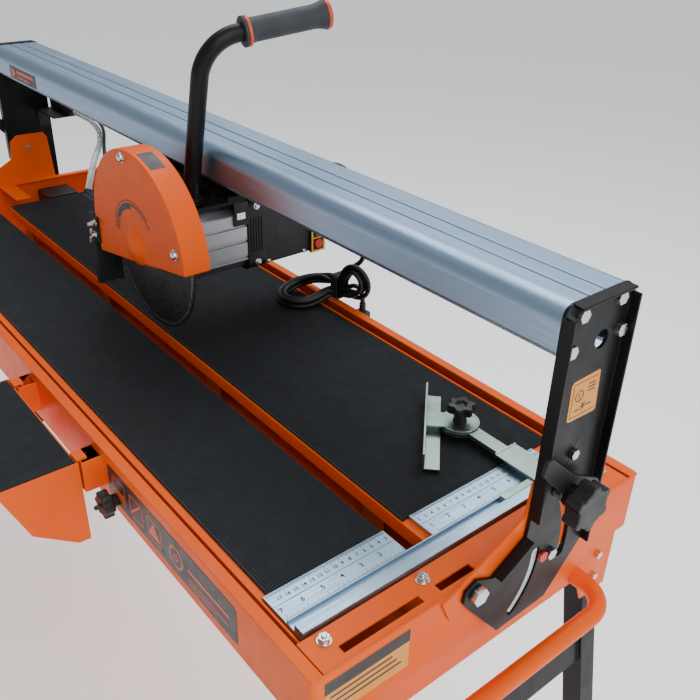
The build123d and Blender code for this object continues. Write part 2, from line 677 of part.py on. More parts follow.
def leg_solid(side_y, outer, bottom, top=LEG_Z + 20):
    """One splayed square bar, cut level at both ends."""
    tan = math.tan(math.radians(LEG_SPLAY))
    half = outer / 2 / math.cos(math.radians(LEG_SPLAY))
    corners = ((top, -1), (top, 1), (bottom, 1), (bottom, -1))
    points = [(LEG_X + (LEG_Z - z) * tan + side * half, z) for z, side in corners]
    return prism_y(points, (side_y - outer / 2, side_y + outer / 2))


def leg_frame():
    """Two square tubes with an upper and a lower channel between them."""
    frame = None
    width = 2 * LEG_Y - LEG_SECTION
    turn = Pos(LEG_X, 0, LEG_Z) * Rot(0, -LEG_SPLAY, 0)
    for side in (-1, 1):
        leg = leg_solid(side * LEG_Y, LEG_SECTION, -TABLE_H + 6)
        leg -= leg_solid(side * LEG_Y, LEG_SECTION - 2 * LEG_WALL, -TABLE_H, LEG_Z + 30)
        leg -= rod_y(LEG_X, (side * LEG_Y - 40, side * LEG_Y + 40), LEG_Z, 5.05)
        frame = leg if frame is None else frame + leg
    for drop in STRETCHER_DROPS:
        bar = Box(20, width + 1, 50) - Pos(-LEG_WALL, 0, 0) * Box(20, width + 5, 50 - 2 * LEG_WALL)
        frame += turn * Pos(0, 0, -drop) * bar
    return frame


def leg_feet():
    """Rubber caps on the two leg ends."""
    feet = []
    for side in (-1, 1):
        cap = leg_solid(side * LEG_Y, LEG_SECTION + 6, -TABLE_H) & block((LEG_X, 900), (-400, 400),
                                                                         (-TABLE_H, -TABLE_H + 30))
        feet.append(cap - leg_solid(side * LEG_Y, LEG_SECTION, -TABLE_H + 6))
    return feet


def leg_knob(side):
    """Clamp knob on the outer cheek, its stud passing through cheeks and leg."""
    knob = Pos(LEG_X, 242, LEG_Z) * Rot(-90, 0, 0) * lobed_knob(20, 26, 6)
    knob += rod_y(LEG_X, (194, 243), LEG_Z, 5)
    return knob if side > 0 else knob.mirror(Plane.XZ)


save("tank_pan", tank_pan())
save("tank_end_plates", end_plate(), mirror_x(end_plate()))
save("table_supports", *table_supports())
save("table_plate_front", table_plate_front())
save("table_plate_back", table_plate_back())
save("table_mat_front", mat((-MAT_X, 621), (-213, -62)))
save("table_mat_back", mat((-MAT_X, 621), (-30, 222)))
save("ruler_plates", *ruler_plates())
save("fence_rail", fence_rail())
save("end_deck", end_deck())
save("pivot_brackets", pivot_bracket(), mirror_x(pivot_bracket()))
save("table_bolts", *table_bolts())
save("carry_handles", carry_handle(1), carry_handle(-1))
save("water_pump", fillet(block((-715, -650), (60, 130), (PAN_Z + SHEET, -6)).edges().filter_by(Axis.Z), 8))
plug_stem = rod_z(DRAIN[0], DRAIN[1], (PAN_Z - 8, PAN_Z + SHEET), 12)
save("drain_plug", plug_stem + rod_z(DRAIN[0], DRAIN[1], (PAN_Z - 20, PAN_Z - 1), 17))
save("rail_beam", rail_beam())
save("upright_right", upright(1))
save("upright_left", upright(-1))
save("upright_bolts", *upright_bolts())
save("cable_chain", *cable_chain())
save("cord_gland", cord_gland())
save("power_cord", tube_path("power_cord", CORD_ROUTE, CORD_D))
save("cord_hank", *cord_hank())
save("power_plug", power_plug())
save("water_hose", tube_path("water_hose", HOSE_ROUTE, HOSE_D))
save("head_cable", tube_path("head_cable", CABLE_ROUTE, CABLE_D))
save("carriage_block", *carriage_block())
save("roller_set_left", roller_set(AXLE_X[0]))
save("roller_set_right", roller_set(AXLE_X[1]))
save("motor_mount", motor_mount())
save("handle_tube", handle_tube())
save("handle_grip", handle_grip())
save("motor_housing", motor_housing())
save("motor_stator", motor_stator())
save("motor_end_bell", motor_end_bell())
save("switch_box", switch_box())
save("on_button", button(BUTTONS_Z[0]))
save("off_button", button(BUTTONS_Z[1]))
save("guard_shell", guard_shell())
save("splash_flap", *splash_flap())
save("motor_rotor", motor_rotor())
save("saw_blade", saw_blade())
save("blade_flanges", *blade_flanges())
save("head_fittings", *head_fittings())
save("guide_slider", guide_slider())
save("guide_fence", guide_fence())
save("guide_knob", guide_knob())
save("side_tray", side_tray())
save("side_tray_mat", mat((TRAY_X[0] + 3, TRAY_X[1] - 3), (TRAY_Y[0] + 3, TRAY_Y[1] - 3)))
side_knob = lobed_knob(18, 22, 6) + Pos(0, 0, 15) * Cylinder(3, 30)
side_knob = Pos(336, -TANK_Y, -50) * Rot(90, 0, 0) * side_knob
save("side_knob", side_knob)
for name, side in (("right", 1), ("left", -1)):
    tilt_knob = Pos(TILT_KNOB_X, STUD_Y, STUD_Z) * Rot(0, 90, 0) * lobed_knob(28, 32, 6)
    tilt_knob -= rod_x((740, 791), STUD_Y, STUD_Z, STUD_R + 0.05)
    frame, feet = leg_frame(), leg_feet()
    knobs = {"back": leg_knob(1), "front": leg_knob(-1)}
    if side < 0:
        tilt_knob, frame = mirror_x(tilt_knob), mirror_x(frame)
        feet = [mirror_x(foot) for foot in feet]
        knobs = {where: mirror_x(knob) for where, knob in knobs.items()}
    save(f"tilt_knob_{name}", tilt_knob)
    save(f"leg_frame_{name}", frame)
    save(f"leg_feet_{name}", *feet)
    for where, knob in knobs.items():
        save(f"leg_knob_{where}_{name}", knob)
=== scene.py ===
import json
import math

import bmesh
import bpy
from mathutils import Matrix, Vector


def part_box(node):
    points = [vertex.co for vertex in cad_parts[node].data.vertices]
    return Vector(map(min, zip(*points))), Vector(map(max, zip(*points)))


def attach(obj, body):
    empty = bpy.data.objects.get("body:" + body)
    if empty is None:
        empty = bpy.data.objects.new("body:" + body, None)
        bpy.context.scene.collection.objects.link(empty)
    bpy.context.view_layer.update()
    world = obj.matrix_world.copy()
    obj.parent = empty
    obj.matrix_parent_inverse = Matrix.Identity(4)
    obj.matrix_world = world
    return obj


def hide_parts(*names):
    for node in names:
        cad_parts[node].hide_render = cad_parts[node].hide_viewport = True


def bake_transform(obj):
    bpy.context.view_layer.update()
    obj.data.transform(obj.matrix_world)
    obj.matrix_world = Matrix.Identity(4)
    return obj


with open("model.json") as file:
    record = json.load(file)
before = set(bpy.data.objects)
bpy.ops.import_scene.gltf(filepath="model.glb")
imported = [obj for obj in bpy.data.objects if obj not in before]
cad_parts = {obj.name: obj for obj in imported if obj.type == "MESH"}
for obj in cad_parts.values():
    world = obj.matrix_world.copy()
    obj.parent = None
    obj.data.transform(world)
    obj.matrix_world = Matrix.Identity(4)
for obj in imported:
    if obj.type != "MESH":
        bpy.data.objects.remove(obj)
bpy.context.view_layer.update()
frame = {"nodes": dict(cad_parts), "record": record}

MM = 0.001
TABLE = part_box("table_mat_back")[1].z

# Driving dimensions, in millimetres over the mats. X runs along the rail, Y to the back.
TANK_FRONT_Y = -246
END_WALL_X = 741
BLADE_X, BLADE_Z = 81, 155
BLADE_FACES = ((-47.75, -47.25), (-44.75, -44.25))
GUARD_X, GUARD_Z = 87, 158
GUARD_FACE_Y = -72
HANDLE_CORNER, HANDLE_END = (149, 20.5, 441), (185, 188, 465)
GRIP_START = 54
TILT_Y, TILT_Z = -46, 2
UPRIGHT_FACE_X = 750
GUIDE_AXIS = (539, 143)
RIB_PITCH = 3.0
RULER_TOP = 3.0
RULER_ZERO_Y = -37.0
RULER_SPANS = ((-219, -62, -1), (-21, 187, 1))
CENTIMETRES_X, INCHES_X = 623.6, 663.4
INCH = 25.4

BODY_OF = {node: body for body, nodes in frame["record"]["behaviour"]["bodies"].items() for node in nodes}
SLOT_OF = {entry["node"]: entry["material_slot"] for entry in frame["record"]["subparts"]}


def at(x, y, z):
    """Point in millimetres over the top of the mats, as a vector in metres."""
    return Vector((x * MM, y * MM, TABLE + z * MM))


def rgb(code):
    """Linear colour from a hexadecimal sRGB code."""
    channels = [int(code[i:i + 2], 16) / 255 for i in (1, 3, 5)]
    return [c / 12.92 if c <= 0.04045 else ((c + 0.055) / 1.055) ** 2.4 for c in channels]


# ---------------------------------------------------------------- camera, light and floor

CAMERA_PLACE = (1128.6, -534.7, 628.9)
CAMERA_DEGREES = (50.3, 29.9, 1.5)
CAMERA_LENS, CAMERA_SENSOR = 42.53, 36


def add_camera():
    """Camera from its place, its azimuth, elevation and roll, and its lens."""
    azimuth, elevation, roll = (math.radians(angle) for angle in CAMERA_DEGREES)
    back = Vector((math.sin(azimuth) * math.cos(elevation), -math.cos(azimuth) * math.cos(elevation),
                   math.sin(elevation)))
    right = Vector((math.cos(azimuth), math.sin(azimuth), 0))
    up = back.cross(right)
    turned_right = right * math.cos(roll) + up * math.sin(roll)
    turned_up = up * math.cos(roll) - right * math.sin(roll)
    data = bpy.data.cameras.new("camera")
    data.sensor_width = CAMERA_SENSOR
    data.lens = CAMERA_LENS
    camera = bpy.data.objects.new("camera", data)
    axes = Matrix((turned_right, turned_up, back)).transposed().to_4x4()
    camera.matrix_world = Matrix.Translation(at(*CAMERA_PLACE)) @ axes
    bpy.context.scene.collection.objects.link(camera)
    bpy.context.scene.camera = camera


def add_light(name, place, target, size, power, color):
    """Rectangular area light that faces a target, in metres and watts."""
    data = bpy.data.lights.new(name, "AREA")
    data.shape = "RECTANGLE"
    data.size, data.size_y = size
    data.energy = power
    data.color = color
    light = bpy.data.objects.new(name, data)
    light.location = place
    light.rotation_euler = (Vector(target) - Vector(place)).to_track_quat("-Z", "Y").to_euler()
    bpy.context.scene.collection.objects.link(light)


def add_studio():
    """Even bluish surroundings, and three large soft lights aimed at the table."""
    world = bpy.data.worlds.new("studio")
    world.use_nodes = True
    background = world.node_tree.nodes["Background"]
    background.inputs["Color"].default_value = (0.93, 0.96, 1.0, 1)
    background.inputs["Strength"].default_value = 0.42
    bpy.context.scene.world = world
    middle = (0, 0, 0.9)
    add_light("key", (2.4, -0.6, 3.0), middle, (1.8, 1.8), 42, (1.0, 0.99, 0.97))
    add_light("top", (-0.6, 1.2, 3.4), middle, (3.2, 2.2), 85, (0.94, 0.97, 1.0))
    add_light("end", (3.2, 0.2, 1.6), middle, (1.6, 1.6), 26, (1.0, 0.99, 0.97))


def add_floor():
    """Pale floor just under the feet, which glows a little so that it stays white."""
    bpy.ops.mesh.primitive_plane_add(size=40, location=(0, 0, -0.0005))
    floor = bpy.context.object
    floor.name = "studio_floor"
    mat, _, _ = material("studio_floor", "#FFFFFF", 0.9, Emission_Color=(1, 1, 1, 1),
                         Emission_Strength=0.42)
    floor.data.materials.append(mat)


# ---------------------------------------------------------------- materials

def material(name, color, roughness, metallic=0.0, **sockets):
    """Principled material with plain values. Sockets are named with underscores for spaces."""
    mat = bpy.data.materials.new(name)
    mat.use_nodes = True
    shader = mat.node_tree.nodes["Principled BSDF"]
    shader.inputs["Base Color"].default_value = (*rgb(color), 1)
    shader.inputs["Roughness"].default_value = roughness
    shader.inputs["Metallic"].default_value = metallic
    for socket, value in sockets.items():
        shader.inputs[socket.replace("_", " ")].default_value = value
    return mat, mat.node_tree, shader


def add_noise(tree, scale, detail=3.0, stretch=(1, 1, 1)):
    """Noise in the object's own coordinates, in features per metre."""
    coordinates = tree.nodes.new("ShaderNodeTexCoord")
    mapping = tree.nodes.new("ShaderNodeMapping")
    mapping.inputs["Scale"].default_value = stretch
    texture = tree.nodes.new("ShaderNodeTexNoise")
    texture.inputs["Scale"].default_value = scale
    texture.inputs["Detail"].default_value = detail
    tree.links.new(coordinates.outputs["Object"], mapping.inputs["Vector"])
    tree.links.new(mapping.outputs["Vector"], texture.inputs["Vector"])
    return texture.outputs["Fac"]


def vary(tree, source, socket, low, high):
    """Drive a number socket from a texture, between two values."""
    span = tree.nodes.new("ShaderNodeMapRange")
    span.inputs["From Min"].default_value = 0.3
    span.inputs["From Max"].default_value = 0.7
    span.inputs["To Min"].default_value = low
    span.inputs["To Max"].default_value = high
    tree.links.new(source, span.inputs["Value"])
    tree.links.new(span.outputs["Result"], socket)


def tint(tree, source, shader, colors, limits=(0.3, 0.7)):
    """Drive the base colour from a texture, between two colours."""
    ramp = tree.nodes.new("ShaderNodeValToRGB")
    for stop, place, code in zip(ramp.color_ramp.elements, limits, colors):
        stop.position = place
        stop.color = (*rgb(code), 1)
    tree.links.new(source, ramp.inputs["Fac"])
    tree.links.new(ramp.outputs["Color"], shader.inputs["Base Color"])


def bump(tree, source, shader, distance, strength):
    """Fine relief from a texture, its depth in metres."""
    node = tree.nodes.new("ShaderNodeBump")
    node.inputs["Distance"].default_value = distance
    node.inputs["Strength"].default_value = strength
    tree.links.new(source, node.inputs["Height"])
    tree.links.new(node.outputs["Normal"], shader.inputs["Normal"])


def coated(name, colors, roughness, grain=900, depth=0.00004):
    """Powder coat: two close colours, faint orange peel, uneven gloss."""
    mat, tree, shader = material(name, colors[0], roughness, Specular_IOR_Level=0.2)
    tint(tree, add_noise(tree, 9), shader, colors)
    vary(tree, add_noise(tree, 40), shader.inputs["Roughness"], roughness - 0.06, roughness + 0.08)
    bump(tree, add_noise(tree, grain, 1.0), shader, depth, 0.6)
    return mat


def metal(name, colors, roughness, stretch=(1, 1, 1), scale=300, depth=0.00003):
    """Bare metal whose grain runs along the axis with the smallest stretch."""
    mat, tree, shader = material(name, colors[0], roughness, metallic=1.0)
    tint(tree, add_noise(tree, scale * 0.12, 4.0, stretch), shader, colors)
    vary(tree, add_noise(tree, scale, 2.0, stretch), shader.inputs["Roughness"], roughness - 0.08,
         roughness + 0.1)
    bump(tree, add_noise(tree, scale * 3, 2.0, stretch), shader, depth, 0.5)
    return mat


def plastic(name, colors, roughness, grain=1400, depth=0.00005):
    """Plastic, rubber or ink: two close colours with a fine grain."""
    mat, tree, shader = material(name, colors[0], roughness)
    tint(tree, add_noise(tree, 30), shader, colors)
    vary(tree, add_noise(tree, 60), shader.inputs["Roughness"], roughness - 0.05, roughness + 0.08)
    bump(tree, add_noise(tree, grain, 1.0), shader, depth, 0.5)
    return mat


def clear_hose():
    """Milky translucent hose."""
    mat, tree, shader = material("clear_hose", "#CFE3DE", 0.18, Transmission_Weight=0.55, IOR=1.42)
    tint(tree, add_noise(tree, 60), shader, ("#BAD3CD", "#E2F0EC"))
    vary(tree, add_noise(tree, 120), shader.inputs["Roughness"], 0.14, 0.3)
    return mat


MATERIALS = {
    "orange_coat": coated("orange_coat", ("#EA5600", "#F06000"), 0.44),
    "galvanised": metal("galvanised", ("#8DA096", "#AEBFB4"), 0.36, scale=160),
    "rubber_mat": plastic("rubber_mat", ("#0E1216", "#161B21"), 0.74, grain=2200, depth=0.00006),
    "ruler_metal": metal("ruler_metal", ("#A3BDD2", "#B4CCDE"), 0.42, (1, 0.05, 1), 400),
    "zinc_bolts": metal("zinc_bolts", ("#C3C6C9", "#DEE0E2"), 0.24, scale=250),
    "black_coat": coated("black_coat", ("#0F0F10", "#171718"), 0.36),
    "beam_anodised": metal("beam_anodised", ("#93ABC4", "#A0B6CD"), 0.42, (0.02, 1, 1), 500, 0.00002),
    "black_plastic": plastic("black_plastic", ("#0D0E0F", "#161718"), 0.46),
    "cord_rubber": plastic("cord_rubber", ("#090A0B", "#101113"), 0.5, grain=2600, depth=0.00003),
    "hose_clear": clear_hose(),
    "motor_alloy": metal("motor_alloy", ("#B2B7BC", "#C8CCD0"), 0.42, (1, 0.06, 1), 420, 0.00004),
    "steel": metal("steel", ("#83878B", "#9A9EA2"), 0.36),
    "blade_steel": metal("blade_steel", ("#474C50", "#575C60"), 0.42, scale=200),
    "button_green": plastic("button_green", ("#1F7A39", "#2B8F47"), 0.3),
    "button_red": plastic("button_red", ("#B31C14", "#CC2A20"), 0.3),
    "tie_strap": plastic("tie_strap", ("#1A1B1D", "#2A2B2E"), 0.8, grain=3000, depth=0.0002),
    "mark_ink": plastic("mark_ink", ("#1D2226", "#2A3035"), 0.6),
    "decal_dark": plastic("decal_dark", ("#17191C", "#202327"), 0.42),
    "rim_ring": metal("rim_ring", ("#A4AAA6", "#BAC0BC"), 0.3),
    "frame_yellow": plastic("frame_yellow", ("#C99A10", "#D9AA1C"), 0.4),
    "grip_rubber": plastic("grip_rubber", ("#24282E", "#2F343B"), 0.62, grain=2400, depth=0.00008),
    "ring_orange": plastic("ring_orange", ("#C23A14", "#D2461C"), 0.4),
    "label_amber": plastic("label_amber", ("#D98A24", "#E39A36"), 0.38),
    "scale_white": plastic("scale_white", ("#B9C2C6", "#CCD4D8"), 0.4),
    "sign_orange": plastic("sign_orange", ("#D0501A", "#DE5E26"), 0.4),
}


def paint(obj, mat):
    """Give an object one material."""
    obj.data.materials.clear()
    obj.data.materials.append(mat)


def add_piece(name, mesh_or_curve, body, slot, mat=None):
    """Object from its data, riding on a body and painted with its slot's material."""
    obj = bpy.data.objects.new(name, mesh_or_curve)
    bpy.context.scene.collection.objects.link(obj)
    paint(obj, mat or MATERIALS[slot])
    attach(obj, body)
    return obj


# ---------------------------------------------------------------- mesh tools (millimetres over the mats)

# Degrees between two faces: rounded by soften, and left sharp in the shading of pieces and of cords.
ROUNDED_FROM, PIECE_SHARP, CORD_SHARP = 32, 38, 50
# Nodes whose notched faces only round well once they are cut into convex ones.
NOTCHED_NODES = ("tank_end_plates",)
WELD_DISTANCE = 0.000004
FLAT_WITHIN = 0.4


def on_axis(axis, u, v, w):
    """Point with w along the axis and (u, v) along the other two, in the order x, y, z."""
    return {"x": (w, u, v), "y": (u, w, v), "z": (u, v, w)}[axis]


def box(bm, low, high):
    """Box between two corners."""
    outline = [(low[0], low[1]), (high[0], low[1]), (high[0], high[1]), (low[0], high[1])]
    prism(bm, outline, "z", low[2], high[2])


def prism(bm, outline, axis, low, high):
    """Outline in the two other directions, drawn out along an axis."""
    rings = [[bm.verts.new(on_axis(axis, u, v, w)) for u, v in outline] for w in (low, high)]
    count = len(outline)
    bm.faces.new(rings[0])
    bm.faces.new(rings[1][::-1])
    for i in range(count):
        j = (i + 1) % count
        bm.faces.new((rings[0][j], rings[0][i], rings[1][i], rings[1][j]))


def join_rings(bm, rings, closed=False):
    """Join each ring of vertices to the next, and the last one to the first if closed."""
    for a, b in zip(rings, rings[1:] + rings[:1] if closed else rings[1:]):
        for i in range(len(a)):
            j = (i + 1) % len(a)
            bm.faces.new((a[i], a[j], b[j], b[i]))


def turned(bm, profile, axis, centre, steps=40, lobes=0, depth=0.0):
    """Profile of (radius, height) pairs turned about an axis, with a wavy outline if it has lobes."""
    rings = []
    for radius, height in profile:
        ring = []
        for i in range(steps):
            angle = 2 * math.pi * i / steps
            reach = radius * (1 - depth + depth * math.cos(lobes * angle))
            u, v = centre[0] + reach * math.cos(angle), centre[1] + reach * math.sin(angle)
            ring.append(bm.verts.new(on_axis(axis, u, v, height)))
        rings.append(ring)
    join_rings(bm, rings)
    bm.faces.new(rings[0][::-1])
    bm.faces.new(rings[-1])


def circle(centre, radius, steps, start=0.0, end=360.0):
    """Points of a circle or an arc, in degrees."""
    count = steps if abs(end - start) >= 360 else steps - 1
    angles = [math.radians(start + (end - start) * i / count) for i in range(steps)]
    return [(centre[0] + radius * math.cos(a), centre[1] + radius * math.sin(a)) for a in angles]


def arc_band(centre, inner, outer, start, end, steps=24):
    """Outline of a curved strip between two radii."""
    return circle(centre, outer, steps, start, end) + circle(centre, inner, steps, start, end)[::-1]


def rotated(outline, centre, turn):
    """Outline turned about its own origin, which then lies at a centre."""
    cos, sin = math.cos(math.radians(turn)), math.sin(math.radians(turn))
    return [(centre[0] + u * cos - v * sin, centre[1] + u * sin + v * cos) for u, v in outline]


def hexagon(centre, flats, turn):
    """Hexagon from its width across flats, turned by an angle."""
    return circle(centre, flats / math.sqrt(3), 6, turn, turn + 360)


def soften(bm, width, segments=2):
    """Round every edge where the surface turns sharply."""
    limit = math.radians(ROUNDED_FROM)
    sharp = [e for e in bm.edges if len(e.link_faces) == 2 and e.calc_face_angle(0) > limit]
    bmesh.ops.bevel(bm, geom=sharp, offset=width, segments=segments, profile=0.5, affect="EDGES",
                    clamp_overlap=False)


def make(name, bm, body, slot, mat=None, edge=0.0, stands_for=()):
    """Piece from a mesh in millimetres over the mats."""
    bmesh.ops.recalc_face_normals(bm, faces=bm.faces)
    if edge:
        soften(bm, edge)
    bm.transform(Matrix.Translation((0, 0, TABLE)) @ Matrix.Scale(MM, 4))
    return finish_piece(name, bm, body, slot, mat, stands_for)


def smooth_mesh(name, bm, sharp):
    """Mesh with smooth faces and its edges sharp from an angle on. It uses the bmesh up."""
    for face in bm.faces:
        face.smooth = True
    mesh = bpy.data.meshes.new(name)
    bm.to_mesh(mesh)
    bm.free()
    mesh.set_sharp_from_angle(angle=math.radians(sharp))
    return mesh


def finish_piece(name, bm, body, slot, mat, stands_for):
    """Piece with even shading, which may stand for CAD nodes."""
    obj = add_piece(name, smooth_mesh(name, bm, PIECE_SHARP), body, slot, mat)
    normals = obj.modifiers.new("normals", "WEIGHTED_NORMAL")
    normals.keep_sharp = True
    if stands_for:
        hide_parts(*stands_for)
    return obj


def refine(node, edge, segments=2):
    """Copy of a CAD node with its flat faces cleaned and its edges rounded."""
    bm = bmesh.new()
    bm.from_mesh(frame["nodes"][node].data)
    bmesh.ops.remove_doubles(bm, verts=bm.verts, dist=WELD_DISTANCE)
    bmesh.ops.dissolve_limit(bm, angle_limit=math.radians(FLAT_WITHIN), verts=bm.verts, edges=bm.edges)
    bmesh.ops.recalc_face_normals(bm, faces=bm.faces)
    if node in NOTCHED_NODES:
        bmesh.ops.connect_verts_concave(bm, faces=bm.faces)
    soften(bm, edge * MM, segments)
    return finish_piece(node + "_finished", bm, BODY_OF[node], SLOT_OF[node], None, (node,))


def tube_mesh(name, path, radius, steps=20):
    """Round tube round a path in metres, closed at its ends."""
    bm = bmesh.new()
    side = (path[1] - path[0]).orthogonal().normalized()
    rings = []
    for i, here in enumerate(path):
        along = (path[min(i + 1, len(path) - 1)] - path[max(i - 1, 0)]).normalized()
        side = (side - along * side.dot(along)).normalized()
        across = along.cross(side)
        rings.append([bm.verts.new(here + (side * math.cos(2 * math.pi * k / steps)
                                           + across * math.sin(2 * math.pi * k / steps)) * radius)
                      for k in range(steps)])
    join_rings(bm, rings)
    bm.faces.new(rings[0][::-1])
    bm.faces.new(rings[-1])
    bmesh.ops.recalc_face_normals(bm, faces=bm.faces)
    return smooth_mesh(name, bm, CORD_SHARP)


# ---------------------------------------------------------------- cords

def spline(name, points, radius):
    """Smooth tube on one open spline, its control points in metres."""
    curve = bpy.data.curves.new(name, "CURVE")
    curve.dimensions = "3D"
    curve.bevel_depth = radius
    curve.bevel_resolution = 6
    curve.resolution_u = 8
    curve.use_fill_caps = True
    line = curve.splines.new("NURBS")
    line.points.add(len(points) - 1)
    for point, place in zip(line.points, points):
        point.co = (*place, 1)
    line.order_u = 3
    line.use_endpoint_u = True
    return curve


def spline_path(points):
    """Points along a spline's own line."""
    curve = spline("path", points, 0)
    curve.resolution_u = 12
    holder = bpy.data.objects.new("path", curve)
    mesh = bpy.data.meshes.new_from_object(holder)
    path = [v.co.copy() for v in mesh.vertices]
    bpy.data.objects.remove(holder)
    return path


def length_of(path):
    """Length of a path in its own unit."""
    return sum((b - a).length for a, b in zip(path, path[1:]))


CORD_D, HOSE_D, CABLE_D = 8, 10, 6

# Mains cord from its gland on the beam to the hank, and from the hank to the plug.
CORD_ROUTE = [
    (194, 169, 262), (194, 194, 262), (197, 222, 250), (199, 243, 219),
    (201, 253, 179), (202, 257, 136), (202, 257, 110), (201, 257.5, 98), (196, 257, 89),
    (187, 255, 81), (177, 252.5, 72), (167, 252, 60),
]
PLUG_ROUTE = [(170, 256.5, 36), (181, 260.5, 41), (191, 261.5, 38), (199, 260.5, 30), (202, 259, 18)]

# Water hose and control cable, side by side from the cable chain to the head.
HOSE_ROUTE = [
    (-630, 141, 173), (-592, 141, 173), (-546, 135, 176), (-492, 122, 182), (-433, 104, 190),
    (-375, 84, 198), (-319, 62, 207), (-266, 40, 215), (-219, 19, 222), (-182, 1, 227),
    (-151, -16, 229), (-131, -30, 224), (-118, -43, 209), (-113, -53, 186),
]
CABLE_ROUTE = [
    (-630, 150, 180), (-592, 150, 180), (-545, 144, 183), (-490, 130, 189), (-431, 111, 197),
    (-373, 91, 206), (-317, 69, 215), (-264, 47, 223), (-216, 26, 230), (-175, 7, 231),
    (-143, -7, 224), (-117, -15, 210), (-95, -18, 193),
]

# The hank's four turns: layer and ring of each, the inner ring lying in the outer one.
HANK_TURNS = [(-1, 1), (1, 1), (1, -1), (-1, -1)]
HANK_PITCH = 8.6
# The strap ties an upper and a lower bundle of four strands, which lie round HANK_Y.
HANK_Y = 247.8
TIE_X, TIE_HALF_WIDTH, TIE_STEPS = 154, 8, 40
# Its middle in (y, z), and its half sizes outside and inside.
TIE_MIDDLE, TIE_OUTSIDE, TIE_INSIDE = (248, 34.8), (13.192, 20.952), (11.64, 19.4)
# Loop over the mat: its middle, its half axes, and its height at each angle round the middle.
LEFT_MIDDLE = (102, 206)
LEFT_REACH = (32, 33)
LEFT_HEIGHT = {80: 33, 107: 27, 134: 21, 161: 16, 188: 11.5, 215: 9, 242: 8.6, 269: 8.6, 296: 8.6,
               323: 8.7, 350: 9.2}
# How the strands come into that loop and leave it: place and roll of the bundle, and its heading.
LEFT_ENTRY = ((163, HANK_Y, 43.3, 0), (149, 247.3, 43.3, 0), (134, 245, 41, 45), (121, 241, 37.5, 90))
LEFT_EXIT = ((135.5, 218, 13, 90, 90), (139, 231, 19.5, 90, 75), (148, 243, 24.5, 45, 40),
             (161, HANK_Y, 26.2, 0, 0))
# Loop behind the rim, in (x, z), for the outer and the inner ring.
OUTER_RING = [(175, 24), (194, 25.5), (211, 33), (222, 46), (224, 60), (218, 74), (205, 82.5), (190, 83),
              (177, 76), (167, 63)]
INNER_RING = [(175, 32.5), (192, 34.5), (205, 41), (213.5, 50), (215, 60), (209, 69.5), (198, 74),
              (187, 72.5), (178, 64), (169, 51.5)]


def in_bundle(layer, ring, roll):
    """Offset of one of the four strands in the bundle, rolled by an angle: sideways and up."""
    angle = math.radians(roll)
    side, up = -HANK_PITCH / 2 * layer, HANK_PITCH / 2 * ring
    return side * math.cos(angle) + up * math.sin(angle), up * math.cos(angle) - side * math.sin(angle)


def left_loop(layer, ring):
    """One turn of the loop over the mat, from the upper strand at the tie to the lower one."""
    points = []
    for x, y, z, roll in LEFT_ENTRY:
        side, up = in_bundle(layer, ring, roll)
        points.append((x, y + side, z + up))
    for angle, height in LEFT_HEIGHT.items():
        turn = math.radians(angle)
        out = HANK_PITCH / 2 * ring
        points.append((LEFT_MIDDLE[0] + (LEFT_REACH[0] + out) * math.cos(turn),
                       LEFT_MIDDLE[1] + (LEFT_REACH[1] + out) * math.sin(turn),
                       height + HANK_PITCH / 2 * layer))
    for x, y, z, roll, heading in LEFT_EXIT:
        side, up = in_bundle(layer, -ring, roll)
        turn = math.radians(heading)
        points.append((x - side * math.sin(turn), y + side * math.cos(turn), z + up))
    return points


def right_loop(turn):
    """Loop behind the rim after one turn, on its way to the ring and layer of the next turn."""
    points = []
    (layer, ring), (next_layer, next_ring) = HANK_TURNS[turn:turn + 2]
    for i, (outer, inner) in enumerate(zip(OUTER_RING, INNER_RING)):
        late, early = min(max((i - 4) / 4, 0), 1), min(max((i + 0.4) / 2.6, 0), 1)
        now = ring + (next_ring - ring) * early
        level = layer + (next_layer - layer) * (late if layer < next_layer else min(1, early * 5))
        share = (1 + now) / 2
        points.append((inner[0] + (outer[0] - inner[0]) * share, HANK_Y - HANK_PITCH / 2 * level,
                       inner[1] + (outer[1] - inner[1]) * share))
    return points


def tie_outline(half_width, half_height):
    """Rectangle round both bundles in (y, z), with a point at every even step of angle."""
    points = []
    for i in range(TIE_STEPS):
        angle = 2 * math.pi * i / TIE_STEPS
        across, up = math.cos(angle), math.sin(angle)
        reach = 1 / max(abs(across) / half_width, abs(up) / half_height)
        points.append((TIE_MIDDLE[0] + across * reach, TIE_MIDDLE[1] + up * reach))
    return points


def add_hank_tie():
    """Strap round the hank."""
    bm = bmesh.new()
    low, high = TIE_X - TIE_HALF_WIDTH, TIE_X + TIE_HALF_WIDTH
    outer, inner = tie_outline(*TIE_OUTSIDE), tie_outline(*TIE_INSIDE)
    rings = [[bm.verts.new((x, y, z)) for y, z in outline]
             for x, outline in ((low, outer), (high, outer), (high, inner), (low, inner))]
    join_rings(bm, rings, closed=True)
    return make("hank_tie", bm, "rail", "cord_rubber", MATERIALS["tie_strap"], edge=0.3)


def add_power_cord():
    """Mains cord: down behind the head, four turns in the tied hank, then into the plug."""
    points = list(CORD_ROUTE)
    for i, (layer, ring) in enumerate(HANK_TURNS):
        points += left_loop(layer, ring)
        if i < len(HANK_TURNS) - 1:
            points += right_loop(i)
    points += PLUG_ROUTE
    metres = [at(*p) for p in points]
    line = spline("power_cord_run", metres, CORD_D / 2 * MM)
    cord = add_piece("power_cord_run", line, "rail", "cord_rubber")
    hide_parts("power_cord", "cord_hank")
    tie = add_hank_tie()
    plug = refine("power_plug", 1.2, 3)
    length_of(spline_path(metres))


